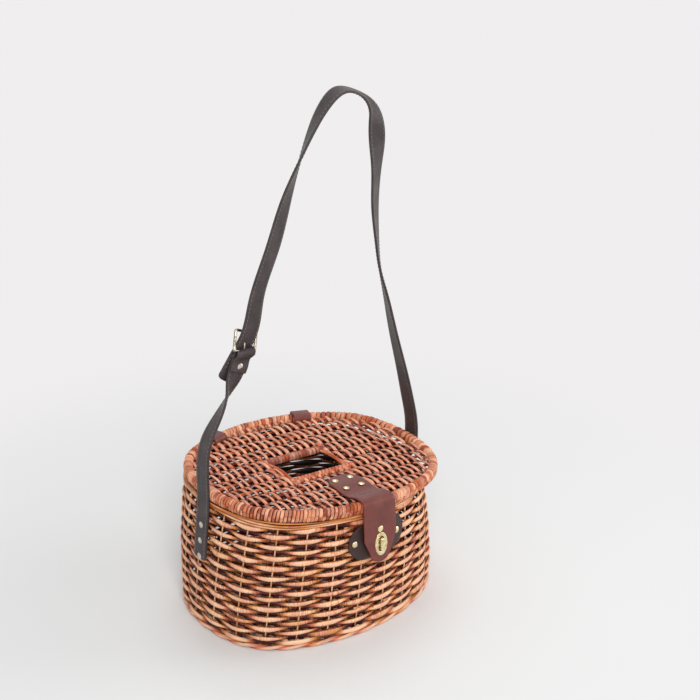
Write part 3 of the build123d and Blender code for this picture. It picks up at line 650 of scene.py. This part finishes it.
# The hole is its middle along X and Y and its half sizes, as the weave leaves it
lid = dict(
    middle=-0.008, swing=0.0027, pitch=0.026, rodPitch=0.00545, rodReach=0.155, thick=0.0014,
    wide=0.0027, steps=72, inset=0.006, sticks=9, stickRadius=0.002, stickStain=0.55,
    hole=(-0.008, -0.001, 0.0405, 0.0285), stickPast=0.004,
)


def wovenLid():
    # Woven field whose rods end at the rim and at the hole.
    piece, rng = begin(21)
    wovenField(piece, rng, lid, basket["lidHalf"], lidPoint, rise)
    piece.build("wovenLid", "lid", "lid", "willow", "lid_weave")


def lidSticks():
    # Straight sticks along X, from edge to edge or from the edge to the hole.
    piece, rng = begin(5)
    y = spaced(lid["sticks"], lid["pitch"])
    holeX, holeY, halfX, halfY = lid["hole"]
    reach = halfX + lid["stickPast"]
    for at, end in zip(y, reachAt(y, basket["lidHalf"], lid["inset"])):
        holed = abs(at - holeY) < halfY
        for a, b in ([(-end, holeX - reach), (holeX + reach, end)] if holed else [(-end, end)]):
            x = np.linspace(a, b, 20)[None]
            piece.sweep(lidPoint(x, at, lid["middle"]), rise, rodRound * lid["stickRadius"],
                        tone=rng.random(1) * 0.6, stain=lid["stickStain"])
    piece.build("lidSticks", "lid", "lid", "willow_rods", "lid_sticks")


winding = dict(boxPower=3.2, facePower=1.6, stepsPerTurn=14)


def wrap(piece, line, outward, half, turns, strand, halfPitch, closed, tone, stain):
    # Strand wound round a core: line + out * a * cos + up * b * sin, pushed out towards a box.
    turn = direction(turns)
    face = np.sign(turn) * np.abs(turn) ** winding["facePower"] / half
    section = circle(6) * np.stack((strand + 0 * turns, halfPitch + 0 * turns), -1)[:, :, None]
    piece.sweep(line + inPlane(squared(turn, winding["boxPower"]) * half, outward, rise),
                inPlane(face, outward, rise), section, closed=closed, tone=tone, stain=stain)


rim = dict(
    half=(0.006, 0.008), inset=0.006, height=-0.008, turns=168, spread=0.3, strand=0.0013,
    packing=0.98, width=(0.7, 1.25), patches=14, stain=(0.08, 0.46), coreUnder=0.0016, coreSteps=240,
)


def lidRim():
    # Turns that crowd at one end: turn = count * (share + spread / (2 * pi) * sin(2 * pi * (share - 0.5))).
    # Each turn has its own width, tone and stain, and a patch of turns shares half its tone.
    piece, rng = begin(31)
    count = rim["turns"]
    share = allRound(count * winding["stepsPerTurn"])
    coarse = fullTurn * (share - 0.5)
    turns = fullTurn * count * (share + rim["spread"] / fullTurn * np.sin(coarse))
    density = count * (1 + rim["spread"] * np.cos(coarse))
    edge = (basket["lidHalf"], rim["inset"], rim["height"], lidPoint)
    line, outward = edgeLine(share, *edge)
    halfPitch = runAlong(line[0])[-1] / density / 2 * rim["packing"]
    done = turns[0] / fullTurn
    index = np.floor(done).astype(int) % count
    widths = np.r_[rng.uniform(*rim["width"], count), 1.0]
    width = np.interp(done % count, np.arange(count + 1), widths)[None]
    own, shared = rng.random(count)[index], rng.random(rim["patches"])[index * rim["patches"] // count]
    tone = (0.5 * own + 0.5 * shared)[None]
    stain = rng.uniform(*rim["stain"], count)[index][None]
    half = np.array(rim["half"]) - rim["strand"]
    wrap(piece, line, outward, half, turns, rim["strand"] * width, halfPitch * width**0.5, True, tone, stain)
    # Painted shade: a core at full darkness under the winding, seen between its turns
    line, outward = edgeLine(allRound(rim["coreSteps"]), *edge)
    core = squared(circle(12), winding["boxPower"]) * (np.array(rim["half"]) - rim["coreUnder"])
    piece.sweep(line, outward, core, closed=True, tone=0.9, stain=1.0)
    piece.build("lidRim", "lid", "rim", "willow_rods", "lid_rim")


hole = dict(
    half=(0.039, 0.0265), height=0.001, woundPast=0.008, woundOut=0.0033, woundPitch=0.0054,
    woundTurns=17, woundHalf=(0.0026, 0.0036), strand=0.0012, halfPitch=0.00265, core=0.0026,
    pairs=(0.003, 0.008), pairPast=0.016, pairHalf=(0.002, 0.0024), bow=0.002, pairStain=0.38,
)


def holeFrame():
    # Long edges wound with rod, short edges of paired rods that bow against each other.
    piece, rng = begin(41)
    (cx, cy), (hx, hy) = lid["hole"][:2], hole["half"]
    height = lid["middle"] + hole["height"]
    for side in (-1, 1):
        reach = hx + hole["woundPast"]
        x = np.linspace(cx - reach, cx + reach, hole["woundTurns"] * winding["stepsPerTurn"])[None]
        line, outward = lidPoint(x, cy + side * (hy + hole["woundOut"]), height), back * side
        turns = fullTurn * (x - x[0, 0]) / hole["woundPitch"]
        wrap(piece, line, outward, hole["woundHalf"], turns, hole["strand"], hole["halfPitch"], False,
             rng.random(1), 0.2)
        # Painted shade: a dark core under the winding, seen between its turns
        piece.sweep(line, outward, rodRound * hole["core"], tone=0.8, stain=0.9)
        for number, out in enumerate(hole["pairs"]):
            reach = hy + hole["pairPast"]
            y = np.linspace(cy - reach, cy + reach, 40)[None]
            bow = hole["bow"] * np.cos(np.pi * (y - cy) / reach + number * np.pi)
            path = lidPoint(cx + side * (hx + out), y, height + bow)
            piece.sweep(path, rise, rodRound * hole["pairHalf"], tone=rng.random(1) * 0.5,
                        stain=hole["pairStain"])
    piece.build("holeFrame", "lid", "lid", "willow_rods", "hole_frame")


base = dict(
    middle=0.0088, swing=0.0026, pitch=0.034, rodPitch=0.0062, rodReach=0.158, thick=0.0022,
    wide=0.0033, steps=60, inset=0.006, sticks=7, stickRadius=0.0029, stickUnder=0.0022,
    stickInset=0.008, hole=(),
)


def wovenBase():
    # Woven field, and straight sticks along X a little under its middle.
    piece, rng = begin(51)
    level = lambda x, y, z: np.stack(np.broadcast_arrays(x, y, z), -1)
    wovenField(piece, rng, base, basket["baseHalf"], level, upright)
    piece.build("wovenBase", "basket", "wall", "willow", "base_weave")
    sticks = Piece()
    y = spaced(base["sticks"], base["pitch"])
    x = reachAt(y, basket["baseHalf"], base["stickInset"])[:, None] * np.linspace(-1, 1, 16)
    path = level(x, y[:, None], base["middle"] - base["stickUnder"])
    sticks.sweep(path, upright, rodRound * base["stickRadius"], tone=rng.random(len(y)), stain=0.2)
    sticks.build("baseSticks", "basket", "rod", "willow_rods", "base_sticks")


wovenWall()
wallStakes()
topBorder()
footRing()
wovenLid()
lidSticks()
lidRim()
holeFrame()
wovenBase()
print("willow woven")


cutCorner = 0.0008


def slab(halfWide, halfThick, flatPoints=6):
    # Section of a strip for each half width: two flat faces with rounded edges.
    # A point is (thickness, share of the flat width, offset of the rounded edge).
    turn, inner = np.linspace(0, np.pi / 2, 4), halfThick - cutCorner
    flats = np.linspace(-1, 1, flatPoints + 2)[1:-1]
    rounded = lambda face, side, angles: [
        (face * (inner + cutCorner * np.sin(a)), side, side * cutCorner * np.cos(a)) for a in angles]
    rows = []
    for s in (1, -1):
        rows += rounded(s, s, turn) + [(s * halfThick, f, 0) for f in flats[::-s]]
        rows += rounded(s, -s, turn[::-1])
    rows = np.array(rows)
    halfWide = halfWide[..., None]
    return np.stack((rows[:, 0] + 0 * halfWide, (halfWide - cutCorner) * rows[:, 1] + rows[:, 2]), -1)


strap = dict(half=0.0125, thick=0.003, lift=0.0018, endPart=0.98)


def ribbon(piece, stations, steps, endRound):
    # Strip along a spline of stations (x, y, z, turn of its width away from Y, seen from above).
    line = spline(stations, steps)[None]
    path, turn = line[..., :3], np.radians(line[..., 3])
    ahead = unit(np.gradient(path, axis=1))
    wide = np.stack((np.sin(turn), np.cos(turn), 0 * turn), -1)
    wide = unit(wide - ahead * (wide * ahead).sum(-1, keepdims=True))
    outward = np.cross(wide, ahead)
    run = runAlong(path[0])
    width = roundEnds(strap["half"], run, endRound, strap["endPart"])
    piece.sweep(path, outward, slab(width[None], strap["thick"] / 2))
    return path[0], wide[0], outward[0], run


thread = dict(inset=0.0026, pitch=0.0052, length=0.0034, radius=0.0003, lift=0.00022, steps=5)


def stitches(piece, path, wide, outward, run, first, last):
    # Thread on both faces near both edges, one short arch each: chord + normal * lift * sin.
    at = np.arange(run[0] + first, run[-1] - last, thread["pitch"])
    read = lambda places, line: np.stack([np.interp(places, run, line[:, i]) for i in range(3)], -1)[:, None]
    t = np.linspace(0, 1, thread["steps"])[None, :, None]
    reach = strap["half"] - thread["inset"]
    for side in (-1, 1):
        for face in (-1, 1):
            edge = path + wide * side * reach + outward * face * strap["thick"] / 2
            normal = read(at, outward * face)
            line = read(at, edge) * (1 - t) + read(at + thread["length"], edge) * t
            line = line + normal * np.sin(np.pi * t) * thread["lift"]
            piece.sweep(line, normal, circle(6) * thread["radius"])


def wallLine(share, ups):
    return [(*p, 0) for p in wallPoint(share, ups, strap["lift"])[0]]


# The buckle's heel bar, its frame's lean, and how the two ends of the strap lie round it
buckle = dict(
    heel=(-0.0928, 0, 0.37), lean=(0.40674, 0, 0.91355), foldRadius=0.0035, foldArc=(60, -80, 8),
    tail=((0.004, 0.0029), (0.0085, 0.0006), (0.012, -0.0003), (0.019, -0.0003), (0.026, -0.0003)),
    behind=0.0036, freeTip=((-0.026, 0.001, -0.033), (-0.02, 0, -0.0255), (0, 0, 0)),
)
leftRoute = [
    (-0.1569, 0, 0.1941, 0), (-0.1569, 0, 0.222, 0), (-0.149, 0, 0.266, 8), (-0.131, 0, 0.294, 25),
    (-0.116, 0, 0.318, 50), (-0.105, 0, 0.3426, 86), (-0.0988, 0, 0.3565, 90), (-0.0932, 0, 0.3691, 90),
]
rightRoute = [
    (-0.0816, 0.0012, 0.3911, 89), (-0.0709, 0, 0.433, 80), (-0.0461, 0, 0.4921, 78), (-0.024, 0, 0.5509, 66),
    (-0.0001, 0, 0.6019, 40), (0.0149, 0, 0.6299, 25), (0.035, 0, 0.6576, 12), (0.057, 0, 0.6715, 5),
    (0.08, 0, 0.6655, 12), (0.097, 0, 0.6524, 35), (0.109, 0, 0.6342, 65), (0.114, 0, 0.608, 88),
    (0.1145, 0, 0.5708, 70), (0.112, 0, 0.5189, 56), (0.1155, 0, 0.465, 44), (0.1195, 0, 0.4318, 37),
    (0.129, 0, 0.393, 26), (0.143, 0, 0.3331, 14), (0.159, 0, 0.2711, 5), (0.17, 0, 0.2238, 0),
    (0.1763, 0, 0.188, 0), (0.1763, 0, 0.1679, 0), (0.1745, 0, 0.158, 0),
]


def strapPieces(name, stations, steps, endRound, sewn, *replaced):
    piece, sewing = Piece(), Piece()
    stitches(sewing, *ribbon(piece, stations, steps, endRound), *sewn)
    return (piece.build(name + "Strap", None, "strap", "strap_leather", *replaced),
            sewing.build(name + "Thread", None, "thread", "strap_leather"))


def leftStrap():
    # Up from the wall, round the heel bar and down along itself: bar + out * r * sin + along * r * cos.
    radius, along = buckle["foldRadius"], np.array(buckle["lean"])
    bar = buckle["heel"] - back * radius
    arc = np.radians(np.linspace(*buckle["foldArc"]))
    fold = [(*(bar + back * radius * np.sin(a) + along * radius * np.cos(a)), 90) for a in arc]
    tail = [(*(bar - back * lay - along * down), 90) for down, lay in buckle["tail"]]
    stations = wallLine(0.5, (0.555, 0.66, 0.78, 0.88)) + leftRoute + fold + tail
    pieces = strapPieces("left", stations, 300, (0.004, 0.001), (0.004, 0.062),
                         "strap_end_left", "short_strap")
    for each in pieces:
        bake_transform(each)


def rightStrap():
    # From the free tip behind the buckle, over the top and down to the right wall.
    start = buckle["heel"] + back * buckle["behind"]
    stations = [(*(start + step), 90) for step in buckle["freeTip"]]
    stations += rightRoute + wallLine(0.0, (0.86, 0.74, 0.62, 0.5))
    pieces = strapPieces("right", stations, 620, (0.006, 0.004), (0.014, 0.004),
                         "strap_end_right", "long_strap")
    for each in pieces:
        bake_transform(each)


# The tab's points are (distance in from the edge, height), the flap's are distances down from the fold,
# and the half widths hold at the marks along it
latch = dict(
    marks=(-0.02, 0.01, 0.044, 0.078), halves=(0.024, 0.025, 0.025, 0.011), thick=0.0025, gap=0.0002,
    lean=np.radians(2.8687), foldHeight=-0.006, rimRound=0.005, rimArc=(0, 20, 40, 60, 80),
    tab=((0.084, -0.004), (0.072, -0.004), (0.06, -0.004), (0.027, -0.0038), (0.02, -0.0012), (0.0105, 0)),
    flap=(0.0, 0.004, 0.012, 0.025, 0.04, 0.055, 0.068, 0.0778), steps=220, endPart=0.97,
    rounds=(0.02, 0.009), slot=(0.011, 0.023), slotSides=48, slotReach=0.01,
)


def cutSlot(piece, centre, out, up):
    # Cuts the turn button's way through the flap: a prism over a stadium, along the flap's normal.
    (wide, tall), sides = latch["slot"], latch["slotSides"]
    ends = np.sign(np.sin(np.linspace(0, fullTurn, sides, endpoint=False) + 1e-6))
    ring = circle(sides) * wide / 2 + np.stack((0 * ends, ends * (tall - wide) / 2), -1)
    flat = centre + inPlane(ring, np.cross(up, out), up)
    points = np.concatenate((flat - out * latch["slotReach"], flat + out * latch["slotReach"]))
    j = np.arange(sides)
    after = (j + 1) % sides
    faces = np.stack((j, after, after + sides, j + sides), -1).tolist()
    faces += [j[::-1].tolist(), (j + sides).tolist()]
    mesh = bpy.data.meshes.new("slotCutter")
    mesh.from_pydata(points.tolist(), [], faces)
    cutter = addObject("slotCutter", mesh)
    cut = piece.modifiers.new("slot", "BOOLEAN")
    cut.operation, cut.solver, cut.object = "DIFFERENCE", "EXACT", cutter
    bpy.context.view_layer.update()
    shaped = bpy.data.meshes.new_from_object(piece.evaluated_get(bpy.context.evaluated_depsgraph_get()))
    piece.modifiers.clear()
    piece.data = shaped
    bpy.data.objects.remove(cutter)


def latchLeather():
    # One strip from the weave over the rim, past the fold and down the flap: a spline across the rim.
    piece = Piece()
    lift, half = latch["gap"] + latch["thick"] / 2, basket["lidHalf"][1]
    front = half + lift
    fold = lidPoint(0.0, -front, latch["foldHeight"])
    sine, cosine = np.sin(latch["lean"]), np.cos(latch["lean"])
    down, out = np.array((0, -sine, -cosine)), np.array((0, -cosine, sine))
    tab = [(distance - half, lift + height) for distance, height in latch["tab"]]
    radius, arc = latch["rimRound"], np.radians(latch["rimArc"])
    bend = [(radius - half - (radius + lift) * np.sin(a), (radius + lift) * np.cos(a) - radius) for a in arc]
    points = [lidPoint(0.0, y, h) for y, h in tab + bend] + [fold + down * d for d in latch["flap"]]
    line = spline(points, latch["steps"])
    run = runAlong(line)
    past = run - run[np.argmin(np.linalg.norm(line - fold, axis=1))]
    width = np.interp(past, latch["marks"], latch["halves"])
    width = roundEnds(width, run, latch["rounds"], latch["endPart"])
    outward = np.cross(unit(np.gradient(line, axis=0)), across)
    piece.sweep(line[None], outward[None], slab(width[None], latch["thick"] / 2, 10))
    piece = piece.build("latchLeather", None, "latch", "latch_leather", "latch_tab", "latch_flap")
    low, high = (np.array(corner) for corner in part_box("eyelet_front"))
    cutSlot(piece, (low + high) / 2, out, -down)
    tuple(lidPoint(0.0, 0.002 - half, -0.0035))
    tuple(lidPoint(0.0, -front - 0.002, -0.012))
    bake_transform(piece)


# The loop's inner depth and height, and the gap that keeps it off the rim
hinge = dict(
    spread=0.072, width=0.024, thick=0.0025, inner=(0.0173, 0.0259), gap=0.0003, boxPower=5, steps=96,
)


def hingeLoops():
    # Closed bands square to the outline: centre + out * x + rise * y of a rounded box.
    for sign, name in ((-1, "left"), (1, "right")):
        piece = Piece()
        radius = basket["radii"][1]
        x = sign * hinge["spread"]
        turn = np.arcsin(x / radius)
        origin = lidPoint(x, basket["lidHalf"][1] - radius + np.sqrt(radius**2 - x**2), 0.0)
        outDir = across * np.sin(turn) + back * np.cos(turn)
        inner = np.array(hinge["inner"]) / 2
        half = inner + hinge["thick"] / 2
        box = squared(circle(hinge["steps"]), hinge["boxPower"]) * half
        centre = origin + outDir * (hinge["gap"] - inner[0]) + rise * (hinge["gap"] - inner[1])
        path = centre + inPlane(box, outDir, rise)
        width = np.full((1, len(box)), hinge["width"] / 2)
        piece.sweep(path[None], inPlane(box / half**2, outDir, rise)[None], slab(width, hinge["thick"] / 2),
                    closed=True)
        piece = piece.build(name + "HingeLoop", None, "latch", "latch_leather", "hinge_loop_" + name)
        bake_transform(piece)


patch = dict(
    middle=(0.00997, 0.136), half=(0.044, 0.024), lift=0.00145, thick=0.0025, leastHalf=0.0012,
    endSteps=40, middleSteps=12, shares=(0.62, 0.88, 600), firstUp=0.8, rounds=3, step=0.002,
)


def latchPatch():
    # Stadium on the wall's skin: a strip along X with the stadium's half height at each x.
    # The wall's share of height for a level strip is found by a few rounds of correction.
    piece = Piece()
    halfX, halfZ = patch["half"]
    turn = np.linspace(-np.pi / 2, np.pi / 2, patch["endSteps"])
    flat = halfX - halfZ
    x = np.r_[flat * np.sign(turn) + halfZ * np.sin(turn), np.linspace(-flat, flat, patch["middleSteps"])]
    x = np.sort(x)
    past = np.maximum(np.abs(x) - flat, 0)
    half = np.maximum(halfZ**2 - past**2, patch["leastHalf"] ** 2) ** 0.5
    shares = np.linspace(*patch["shares"])
    ups = np.full(len(shares), patch["firstUp"])
    for _ in range(patch["rounds"]):
        place = wallPoint(shares, ups, 0.0)[0]
        ups = ups + (patch["middle"][1] - place[:, 2]) / (basket["wallTop"] - basket["footHeight"])
    share = np.interp(x + patch["middle"][0], place[:, 0], shares)
    up = np.interp(share, shares, ups)
    skin = lambda moveShare, moveUp: wallPoint(share + moveShare, up + moveUp, 0.0)[0]
    step = patch["step"]
    outward = unit(np.cross(skin(step, 0) - skin(-step, 0), skin(0, step) - skin(0, -step)))
    path = skin(0, 0) + outward * patch["lift"]
    piece.sweep(path[None], outward[None], slab(half[None], patch["thick"] / 2, 8))
    piece.build("latchPatch", "basket", "patch", "latch_leather", "latch_patch")


leftStrap()
rightStrap()
latchLeather()
latchPatch()
hingeLoops()

metalNodes = {
    "brass": ("tab_rivets", "tab_washers", "eyelet_front", "eyelet_back", "flap_rivet", "patch_rivets",
              "patch_washers", "lock_plate", "turn_button"),
    "nickel": ("strap_rivets_left", "strap_rivets_right", "strap_washers", "buckle_rivet"),
    "buckle": ("buckle_frame", "buckle_prong"),
}
for key, names in metalNodes.items():
    for node in names:
        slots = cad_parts[node].data.materials
        slots.clear()
        slots.append(materials[key])
print("leather and metal made")


room = dict(
    floor=("#E2E3E3", "#E7E8E8"), gloss=0.35, specular=0.03, size=8.0, glow="#F0EEEF",
    near=0.30, far=0.80, backdrop="#EDEBEC", light=0.48,
)
# Name, place, aim, size and power of each lamp
lamps = (
    ("key", (-1.65, -2.8, 2.4), (0, 0, 0.15), 1.45, 90.0),
    ("fill", (1.9, -1.0, 0.8), (0, 0, 0.15), 1.4, 17.0),
    ("top", (0.35, 0.55, 2.2), (0, 0, 0.2), 1.2, 10.0),
)
view = dict(lens=97.71, sensor=36.0, place=(-1.2726, -1.7366, 1.3496), aim=(0.1264, 0.0695, 0.2838))


def stageFloor():
    # Lit floor that turns into an even glow further out, for the camera only.
    mesh = bpy.data.meshes.new("floor")
    s = room["size"]
    mesh.from_pydata([(-s, -s, 0), (s, -s, 0), (s, s, 0), (-s, s, 0)], [], [(0, 1, 2, 3)])
    floor = addObject("floor", mesh)
    material, g, shader = newShader("paleFloor")
    place = g.place()
    g.feed(shader, {"Base Color": g.mix(g.noise(place, 2.0, 2), *map(colour, room["floor"])),
                    "Roughness": room["gloss"], "Specular IOR Level": room["specular"]})
    away = g.put("ShaderNodeVectorMath", {0: place}, operation="LENGTH").outputs["Value"]
    limits = {0: away, 1: room["near"], 2: room["far"], 3: 0.0, 4: 1.0}
    far = g.put("ShaderNodeMapRange", limits, interpolation_type="SMOOTHSTEP").outputs[0]
    glow = g.put("ShaderNodeEmission", {0: colour(room["glow"]), 1: 1.0})
    both = g.put("ShaderNodeMixShader", {0: g.times(far, g.seen()), 1: shader.outputs[0], 2: glow.outputs[0]})
    g.feed(g.tree.nodes["Material Output"], {0: both.outputs[0]})
    mesh.materials.append(material)


def aimAt(thing, place, aim):
    thing.location = place
    thing.rotation_euler = (Vector(aim) - Vector(place)).to_track_quat("-Z", "Y").to_euler()


def makeWorld():
    # White light on things, and the backdrop's colour for the camera.
    world = bpy.data.worlds.new("studio")
    world.use_nodes = True
    g = Graph(world.node_tree)
    light = g.tree.nodes["Background"]
    g.feed(light, {0: white, 1: room["light"]})
    backdrop = g.put("ShaderNodeBackground", {0: colour(room["backdrop"]), 1: 1.0})
    mix = g.put("ShaderNodeMixShader", {0: g.seen(), 1: light.outputs[0], 2: backdrop.outputs[0]})
    g.feed(g.tree.nodes["World Output"], {0: mix.outputs[0]})
    scene.world = world


stageFloor()
makeWorld()
for name, place, aim, size, power in lamps:
    light = bpy.data.lights.new(name, "AREA")
    light.shape, light.size, light.energy = "DISK", size, power
    aimAt(addObject(name, light), place, aim)

camera = addObject("camera", bpy.data.cameras.new("camera"))
camera.data.lens, camera.data.sensor_width = view["lens"], view["sensor"]
aimAt(camera, view["place"], view["aim"])
scene.camera = camera
scene.view_settings.view_transform = "Standard"
print("room ready")
